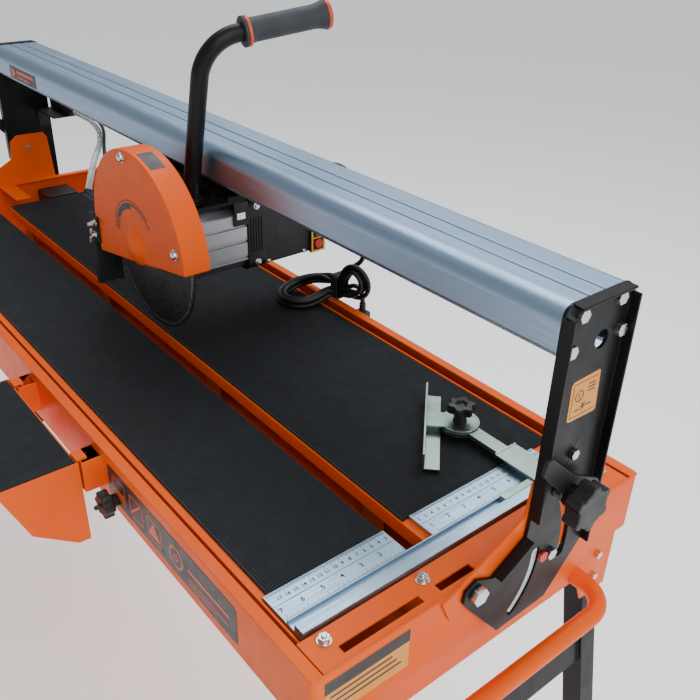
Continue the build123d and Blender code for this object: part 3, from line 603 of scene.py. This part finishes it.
def add_head_line(name, node, route, diameter, slot):
    """Tube from the cable chain to the head, along a spline through the route."""
    path = spline_path([at(*p) for p in route])
    line = bpy.data.objects.new(name, tube_mesh(name, path, diameter / 2 * MM))
    bpy.context.scene.collection.objects.link(line)
    paint(line, MATERIALS[slot])
    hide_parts(node)
    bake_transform(line)


# ---------------------------------------------------------------- detailed pieces

def cad_box(node):
    """Corners of a CAD node in millimetres over the mats."""
    low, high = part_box(node)
    return [(p.x / MM, p.y / MM, (p.z - TABLE) / MM) for p in (low, high)]


def add_mat(node):
    """Rubber mat with fine ribs along the rail."""
    (x0, y0, z0), (x1, y1, z1) = cad_box(node)
    count = int((y1 - y0 - RIB_PITCH) / RIB_PITCH)
    margin = (y1 - y0 - count * RIB_PITCH) / 2
    groove = ((0.1, 0), (0.4, 0.9), (1.2, 0.9), (1.5, 0))
    outline = [(y1, z0), (y1, z1 - 0.4), (y1 - 0.5, z1)]
    for i in range(count, 0, -1):
        y = y0 + margin + i * RIB_PITCH
        outline += [(y - across, z1 - down) for across, down in groove]
    outline += [(y0 + 0.5, z1), (y0, z1 - 0.4), (y0, z0)]
    bm = bmesh.new()
    prism(bm, outline, "x", x0, x1)
    make(node + "_ribbed", bm, BODY_OF[node], SLOT_OF[node], stands_for=(node,))


def add_figures(bm, text, x, y, z, size):
    """Flat figures on a level face, read from the end of the table."""
    curve = bpy.data.curves.new("figures", "FONT")
    curve.body = text
    curve.size = size
    curve.extrude = 0.06
    curve.offset = 0.14
    curve.align_x = "CENTER"
    curve.align_y = "CENTER"
    holder = bpy.data.objects.new("figures", curve)
    mesh = bpy.data.meshes.new_from_object(holder)
    mesh.transform(Matrix.Translation((x, y, z)) @ Matrix.Rotation(math.radians(90), 4, "Z"))
    bm.from_mesh(mesh)
    bpy.data.objects.remove(holder)
    bpy.data.meshes.remove(mesh)


def add_ruler_marks():
    """Centimetre and inch scales on both ruler plates, counted away from the cutting slot."""
    bm = bmesh.new()
    low, high = RULER_TOP, RULER_TOP + 0.08
    for front, back, side in RULER_SPANS:
        for k in range(1, 26):
            for step in range(10):
                y = RULER_ZERO_Y + side * 10 * (k + step / 10)
                if front < y < back:
                    reach = {0: 6.5, 5: 5}.get(step, 3.6)
                    box(bm, (CENTIMETRES_X, y - 0.22, low), (CENTIMETRES_X + reach, y + 0.22, high))
            y = RULER_ZERO_Y + side * 10 * k
            if front + 3 < y < back - 3:
                add_figures(bm, str(k), 634.5, y, RULER_TOP + 0.05, 6.4)
        for k in range(1, 10):
            for step in range(16):
                y = RULER_ZERO_Y + side * INCH * (k + step / 16)
                if front < y < back:
                    reach = {0: 7, 8: 5.4}.get(step, 4.6 if step % 4 == 0 else 3.2)
                    box(bm, (INCHES_X - reach, y - 0.28, low), (INCHES_X, y + 0.28, high))
            y = RULER_ZERO_Y + side * INCH * k
            if front + 4 < y < back - 4:
                add_figures(bm, str(k), 649, y, RULER_TOP + 0.05, 8.5)
        box(bm, (641.2, front, low), (641.8, back, high))
    make("ruler_marks", bm, "table", "ruler_metal", MATERIALS["mark_ink"])


def add_guard_details():
    """Painted arc round the boss, patch on the band, screws on the face."""
    boss, face = (GUARD_X, GUARD_Z + 2), (GUARD_FACE_Y - 0.3, GUARD_FACE_Y + 0.1)
    bm = bmesh.new()
    for inner, outer, start, end in ((54, 63, 96, 150), (60, 63, 40, 96), (66, 67.5, 50, 158)):
        prism(bm, arc_band(boss, inner, outer, start, end), "y", *face)
    for angle in (154, 160, 166):
        prism(bm, arc_band(boss, 52, 65, angle, angle + 3, 4), "y", *face)
    prism(bm, arc_band((GUARD_X, GUARD_Z), 139.6, 140.35, 66, 83), "y", -66, -44)
    make("guard_decal", bm, "head", "orange_coat", MATERIALS["decal_dark"])
    washer = [(8, -72), (8, -73.2), (7.4, -73.8)]
    screw = [(6.2, -73.6), (6.2, -75), (5.6, -77), (4, -78.2), (1.6, -78.6)]
    bm = bmesh.new()
    for place in ((GUARD_X - 16, GUARD_Z + 128), (GUARD_X + 118, GUARD_Z + 30)):
        turned(bm, washer, "y", place, 28)
        turned(bm, screw, "y", place, 28)
    make("guard_screws", bm, "head", "zinc_bolts")


def add_flap():
    """Rubber splash flap with its comb of fingers, strap and two wing nuts."""
    x0, x1 = -71, -57
    bm = bmesh.new()
    box(bm, (x0, -75.3, 84), (x1, -34, 166))
    box(bm, (x1 - 1, -75.3, 122), (-40, -72.3, 164))
    for row in range(3):
        for i in range(11):
            y = -75.1 + i * 3.75
            x = x0 + 0.2 + row * 4.8
            low = 44 + ((i * 7 + row * 5) % 4) * 1.6
            prism(bm, [(x, 85), (x + 3.9, 85), (x + 3.2, low), (x + 0.7, low)], "y", y, y + 2.9)
    make("splash_flap_rubber", bm, "flap", "rubber_mat", edge=0.35, stands_for=("splash_flap",))
    wing = [(3, -2.2), (9, -3.4), (13.5, -1.6), (14.4, 1.6), (11, 3.2), (3, 2.2)]
    bm = bmesh.new()
    for x, z, roll in ((-48, 154, 24), (-53, 133, 70)):
        turned(bm, [(6, -75.3), (6, -76.4), (4.6, -77), (4.2, -81.5), (3.2, -82.4)], "y", (x, z), 24)
        for side in (0, 180):
            prism(bm, rotated(wing, (x, z), roll + side), "y", -83.9, -80.4)
    make("flap_wing_nuts", bm, "flap", "zinc_bolts", edge=0.5)


def add_blade_rim():
    """Thin bright ring near the edge of the blade, on both of its faces."""
    bm = bmesh.new()
    for low, high in BLADE_FACES:
        corners = ((118.6, low), (121.2, low), (121.2, high), (118.6, high))
        join_rings(bm, [[bm.verts.new((u, y, v)) for u, v in circle((BLADE_X, BLADE_Z), radius, 96)]
                        for radius, y in corners], closed=True)
    make("blade_rim", bm, "spindle", "blade_steel", MATERIALS["rim_ring"])


def motor_outline():
    """Faceted section of the motor's extrusion, in (x, z) about its axis."""
    right = [(34, -56), (36.5, -53.5), (39, -54), (56, -37), (56, -34.5), (53.4, -33.5), (53.4, -31.5),
             (56, -30.5), (56, -9), (53.4, -8), (53.4, -6), (56, -5), (56, 16), (53.4, 17), (53.4, 19),
             (56, 20), (56, 36), (54, 39), (38, 55), (34, 56)]
    top = [(20, 56), (19, 53.4), (17, 53.4), (16, 56), (2, 56), (1, 53.4)]
    groove_below = [(-17, -56), (-18, -53.4), (-19, -56)]
    half = right + top
    return half + [(-x, z) for x, z in reversed(half)] + groove_below


def add_motor():
    """Grooved extrusion of the motor, and the screws, bracket, vents and plate of its end bell."""
    bm = bmesh.new()
    prism(bm, rotated(motor_outline(), (BLADE_X, BLADE_Z), 0), "y", -25, 83)
    make("motor_extrusion", bm, "head", "motor_alloy", edge=0.45, stands_for=("motor_housing",))
    side_screw = [(5.6, 138.8), (5.6, 139.6), (4.6, 140), (3.4, 140), (3.0, 141.6), (1.4, 142.2)]
    back_screw = [(4.4, 116), (4.4, 118.4), (3.2, 119.6), (1.2, 120)]
    bm = bmesh.new()
    for z in (200, 110):
        turned(bm, side_screw, "x", (99.5, z), 28)
    for z in (203, 107):
        for x in (33, 129):
            turned(bm, back_screw, "y", (x, z), 24)
    make("end_bell_screws", bm, "head", "zinc_bolts")
    bm = bmesh.new()
    box(bm, (104, 62, 206), (140.5, 84, 212.4))
    box(bm, (137, 60, 176), (141, 84, 212))
    for i in range(5):
        box(bm, (138.9, 88 + i * 4.6, 128), (140.3, 90 + i * 4.6, 182))
    make("end_bell_bracket", bm, "head", "black_plastic", edge=0.7)
    bm = bmesh.new()
    box(bm, (141, 64, 186), (141.6, 78, 196))
    make("end_bell_plate", bm, "head", "zinc_bolts", edge=0.2)


def add_switch_frame():
    """Yellow frame round the two push buttons, and the screws of the box's lid."""
    bars = ((202.4, 206, 98.4, 145.6), (226, 229.6, 98.4, 145.6), (206, 226, 98.4, 101.6),
            (206, 226, 142.4, 145.6), (206, 226, 120.8, 123.2))
    bm = bmesh.new()
    for y0, y1, z0, z1 in bars:
        box(bm, (136, y0, z0), (137.6, y1, z1))
    make("switch_frame", bm, "head", "black_plastic", MATERIALS["frame_yellow"], edge=0.4)
    bm = bmesh.new()
    for place in ((124, 190), (225, 190), (124, 103), (192, 103)):
        turned(bm, [(3.4, 131), (3.4, 131.8), (2.2, 132.6), (0.8, 132.8)], "x", place, 20)
    make("switch_screws", bm, "head", "zinc_bolts")


def add_grip():
    """Smooth grip with a flange and a coloured ring at each end."""
    corner, end = Vector(HANDLE_CORNER), Vector(HANDLE_END)
    along = (end - corner).normalized()
    start = corner + along * GRIP_START
    length = (end - start).length
    turn = Vector((0, 0, 1)).rotation_difference(along).to_matrix().to_4x4()
    place = Matrix.Translation(start) @ turn
    profile = [(12.2, 0), (18.6, 0), (19.8, 1), (19.8, 3.6), (18.8, 4.6), (18.6, 8.6), (17.4, 10),
               (16.2, 12.5), (15.7, 17), (15.7, length - 18), (16.4, length - 11), (17.8, length - 5),
               (18.6, length - 2), (18.6, length + 5), (17, length + 6), (9, length + 6)]
    bm = bmesh.new()
    turned(bm, profile, "z", (0, 0), 44)
    bm.transform(place)
    make("grip_ribbed", bm, "head", "rubber_mat", MATERIALS["grip_rubber"], stands_for=("handle_grip",))
    bm = bmesh.new()
    for low, high in ((4.4, 9.2), (length - 0.6, length + 5.2)):
        ring = [(18, low), (19.6, low + 0.4), (20, (low + high) / 2), (19.6, high - 0.4), (18, high)]
        turned(bm, ring, "z", (0, 0), 44)
    bm.transform(place)
    make("grip_rings", bm, "head", "rubber_mat", MATERIALS["ring_orange"])


def add_upright_plate():
    """Sticker on the right upright with plain signs, and under it a flat dark slanted strip of painted
    shade.
    """
    bm = bmesh.new()
    plate = [(55.5, 210), (58, 214), (98, 215.4), (99.6, 213), (103, 168), (101, 165.8), (60, 166.8),
             (57, 169)]
    prism(bm, plate, "x", UPRIGHT_FACE_X, UPRIGHT_FACE_X + 0.35)
    make("upright_plate", bm, "rail", "black_coat", MATERIALS["label_amber"])
    low, high = UPRIGHT_FACE_X + 0.3, UPRIGHT_FACE_X + 0.6
    bars = ((60.5, 99.5, 170.5, 171.1), (60.5, 96.5, 209.6, 210.2), (59.9, 60.5, 170.8, 210),
            (84, 94, 199, 200.4), (84, 94, 195, 196.2), (84, 94, 203, 204.2), (66, 74, 177, 178.2),
            (84, 92, 179, 180.2))
    bm = bmesh.new()
    for y0, y1, z0, z1 in bars:
        box(bm, (low, y0, z0), (high, y1, z1))
    prism(bm, arc_band((71, 194), 5.6, 6.6, 0, 359, 30), "x", low, high)
    prism(bm, [(71, 189), (72, 196), (70, 196)], "x", low, high)
    for turn in (0, 60, 120):
        prism(bm, rotated([(5, 0.5), (-5, 0.5), (-5, -0.5), (5, -0.5)], (79, 180), turn), "x", low, high)
    # Painted shade: a flat dark slanted strip laid on the face, with nothing cut into the upright.
    prism(bm, [(72.5, 108), (75, 108), (86, 138), (83.5, 138)], "x", UPRIGHT_FACE_X, UPRIGHT_FACE_X + 0.3)
    make("upright_pictograms_and_painted_shade", bm, "rail", "black_coat", MATERIALS["decal_dark"])


def add_tilt_scales():
    """Red pointer on the right, and at both ends the scale in the lower slot and the clamp's strap."""
    axis = (TILT_Y, TILT_Z)
    pointer = [(50, -8), (56, -14), (63, -13), (64, -4), (58, 0), (51, -1)]
    strap = [(11, 133), (15, 149), (22, 150), (62, 112), (108, 86), (113, 80), (111, 57), (104, 54),
             (60, 84), (24, 118)]
    bm = bmesh.new()
    prism(bm, pointer, "x", UPRIGHT_FACE_X, UPRIGHT_FACE_X + 3.5)
    make("tilt_pointer", bm, "rail", "black_coat", MATERIALS["button_red"], edge=0.5)
    for side, name in ((1, "right"), (-1, "left")):
        bm = bmesh.new()
        prism(bm, arc_band(axis, 86, 94.5, -48, 4, 40), "x", side * 747, side * 748.6)
        make("tilt_scale_" + name, bm, "rail", "ruler_metal", MATERIALS["scale_white"])
        bm = bmesh.new()
        for i in range(46):
            reach, angle = 3.6 if i % 5 == 0 else 2, i - 44
            mark = arc_band(axis, 94 - reach, 94, angle - 0.12, angle + 0.12, 3)
            prism(bm, mark, "x", side * 748.55, side * 748.75)
        make("tilt_scale_marks_" + name, bm, "rail", "ruler_metal", MATERIALS["mark_ink"])
        bm = bmesh.new()
        prism(bm, strap, "x", side * 761.4, side * 767)
        make("clamp_strap_" + name, bm, "table", "black_plastic", edge=1.6)


def add_guide_details():
    """Degree marks on the disc, rolled edge on the bracket, tall stem under the knob."""
    bm = bmesh.new()
    for i in range(0, 181, 5):
        inner = 25 - (4.5 if i % 15 == 0 else 2.6)
        mark = [(inner, -0.2), (25, -0.2), (25, 0.2), (inner, 0.2)]
        prism(bm, rotated(mark, GUIDE_AXIS, i - 100), "z", 18, 18.08)
    make("guide_marks", bm, "guide_bar", "galvanised", MATERIALS["mark_ink"])
    bm = bmesh.new()
    box(bm, (613.2, 129, 8.5), (614.6, 166, 16.2))
    make("guide_bracket_lip", bm, "guide", "galvanised", MATERIALS["zinc_bolts"], edge=0.5)
    bm = bmesh.new()
    turned(bm, [(9.4, 18.2), (8.6, 22), (8.2, 30), (10.5, 33)], "z", GUIDE_AXIS, 32)
    knob = [(10, 31), (17.6, 32.5), (18.8, 34.5), (18.8, 42), (17.4, 44), (9, 44.6), (7.4, 43),
            (6.6, 41.2), (2, 41)]
    turned(bm, knob, "z", GUIDE_AXIS, 72, 6, 0.13)
    make("guide_knob_tall", bm, "guide_lock", "black_plastic", stands_for=("guide_knob",))


def add_deck_bolts():
    """Washer, nut and bolt end at each fixing of the end deck."""
    bm = bmesh.new()
    for place in ((707, -207), (707, -81), (707, 214)):
        turned(bm, [(7.6, 8), (7.6, 9.2)], "z", place, 28)
        prism(bm, hexagon(place, 10.4, 14), "z", 9.2, 14.2)
        turned(bm, [(3, 14), (3, 15.6), (2.2, 16.2)], "z", place, 20)
    make("deck_bolts", bm, "table", "zinc_bolts", edge=0.4)


def add_front_panel():
    """Dark panel on the tank's front wall, with framed signs and plain lines on it."""
    y = TANK_FRONT_Y
    panel = [(318, -52), (322, -56), (612, -56), (615, -52), (615, -8), (611, -4), (322, -4), (318, -8)]
    bm = bmesh.new()
    prism(bm, panel, "y", y - 0.3, y)
    make("front_panel", bm, "table", "orange_coat", MATERIALS["decal_dark"])
    low, high = y - 0.55, y - 0.28
    signs = ([(334, -42), (360, -42), (360, -30), (334, -30)],
             [(380, -42), (406, -18), (403, -17), (378, -39)],
             [(424, -40), (452, -40), (438, -18)])
    z0, z1, line = -46, -14, 1.6
    bm = bmesh.new()
    for x0 in (330, 376, 422):
        x1 = x0 + 34
        box(bm, (x0, low, z0), (x1, high, z0 + line))
        box(bm, (x0, low, z1 - line), (x1, high, z1))
        box(bm, (x0, low, z0), (x0 + line, high, z1))
        box(bm, (x1 - line, low, z0), (x1, high, z1))
    for outline in signs:
        prism(bm, outline, "y", low, high)
    prism(bm, arc_band((490, -30), 13, 15.5, 0, 359, 40), "y", low, high)
    prism(bm, arc_band((490, -30), 3, 5, 0, 359, 24), "y", low, high)
    for x0, x1, z0, z1 in ((516, 600, -30, -26), (516, 600, -42, -40), (516, 574, -48, -46)):
        box(bm, (x0, low, z0), (x1, high, z1))
    make("front_panel_signs", bm, "table", "orange_coat", MATERIALS["sign_orange"])


def add_rail_panel():
    """Dark panel on the beam, with a plain shape and two bars on it."""
    bm = bmesh.new()
    prism(bm, [(-645, 257), (-509, 257), (-509, 281), (-645, 281)], "y", 25.6, 26)
    make("rail_panel", bm, "rail", "black_plastic", MATERIALS["decal_dark"])
    arrow = [(-640, 261), (-622, 261), (-616, 269), (-622, 277), (-640, 277), (-634, 269)]
    bm = bmesh.new()
    prism(bm, arrow, "y", 25.3, 25.65)
    box(bm, (-608, 25.3, 270), (-520, 25.65, 276))
    box(bm, (-608, 25.3, 262), (-540, 25.65, 265))
    make("rail_panel_signs", bm, "rail", "black_plastic", MATERIALS["sign_orange"])


def add_end_panel():
    """Amber sticker on the end wall, with a dark head and plain lines."""
    x = END_WALL_X
    bm = bmesh.new()
    prism(bm, [(-232, -52), (-128, -52), (-128, 0), (-232, 0)], "x", x, x + 0.3)
    make("end_panel", bm, "table", "orange_coat", MATERIALS["label_amber"])
    bm = bmesh.new()
    box(bm, (x + 0.25, -232, -16), (x + 0.5, -128, 0))
    for row in range(3):
        box(bm, (x + 0.25, -226, -24 - row * 8), (x + 0.5, -150 + row * 6, -21.6 - row * 8))
    make("end_panel_signs", bm, "table", "orange_coat", MATERIALS["decal_dark"])


def add_chain():
    """End of the cable chain: hollow links with their joints, on the bracket."""
    bm = bmesh.new()
    box(bm, (-746, 100, 160), (-650, 160, 163))
    box(bm, (-746, 100, 125), (-743, 124, 163))
    for i in range(4):
        x = -741 + i * 28
        link = [(x, 164.4), (x + 22, 164.4), (x + 27, 170), (x + 27, 184), (x + 22, 189.6), (x, 189.6)]
        for y, pin in ((130.4, (129.8, 130.8)), (156, (159, 160.2))):
            prism(bm, link, "y", y, y + 3.6)
            turned(bm, [(5, pin[0]), (5, pin[1])], "y", (x + 20, 177), 20)
        box(bm, (x + 5, 131, 163.4), (x + 17, 159, 165.6))
        box(bm, (x + 5, 131, 187.4), (x + 17, 159, 189.6))
    make("chain_links", bm, "rail", "black_plastic", edge=0.4, stands_for=("cable_chain",))


# ---------------------------------------------------------------- the whole scene

# CAD nodes that are shown as refined copies, and the width of their rounded edges in millimetres.
EDGES = {
    "tank_pan": 0.8, "tank_end_plates": 0.8, "table_plate_front": 0.7, "table_plate_back": 0.7,
    "end_deck": 0.8, "pivot_brackets": 0.7, "carry_handles": 0.4, "guard_shell": 1.6, "side_tray": 0.5,
    "table_supports": 0.5, "guide_slider": 0.5, "guide_fence": 0.6, "leg_feet_right": 1.5,
    "leg_feet_left": 1.5, "ruler_plates": 0.4, "fence_rail": 0.6, "table_bolts": 0.5,
    "upright_bolts": 0.5, "upright_right": 0.8, "upright_left": 0.8, "carriage_block": 0.6,
    "motor_mount": 0.6, "handle_tube": 0.8, "leg_frame_right": 1.2, "leg_frame_left": 1.2,
    "rail_beam": 0.7, "water_pump": 2.0, "drain_plug": 1.0, "cord_gland": 0.8, "motor_end_bell": 1.8,
    "switch_box": 1.2, "head_fittings": 0.8, "side_knob": 1.6, "tilt_knob_right": 1.6,
    "tilt_knob_left": 1.6, "leg_knob_back_right": 1.6, "leg_knob_back_left": 1.6,
    "leg_knob_front_right": 1.6, "leg_knob_front_left": 1.6, "blade_flanges": 0.5, "saw_blade": 0.3,
    "on_button": 1.0, "off_button": 1.0,
}

add_camera()
add_power_cord()
add_head_line("water_hose_run", "water_hose", HOSE_ROUTE, HOSE_D, "hose_clear")
add_head_line("head_cable_run", "head_cable", CABLE_ROUTE, CABLE_D, "cord_rubber")
for node in ("table_mat_front", "table_mat_back", "side_tray_mat"):
    add_mat(node)
add_ruler_marks()
add_guard_details()
add_flap()
add_blade_rim()
add_motor()
add_switch_frame()
add_grip()
add_upright_plate()
add_tilt_scales()
add_guide_details()
add_front_panel()
add_rail_panel()
add_end_panel()
add_deck_bolts()
add_chain()

for node, obj in frame["nodes"].items():
    paint(obj, MATERIALS[SLOT_OF[node]])
for node, edge in EDGES.items():
    refine(node, edge)

add_studio()
add_floor()
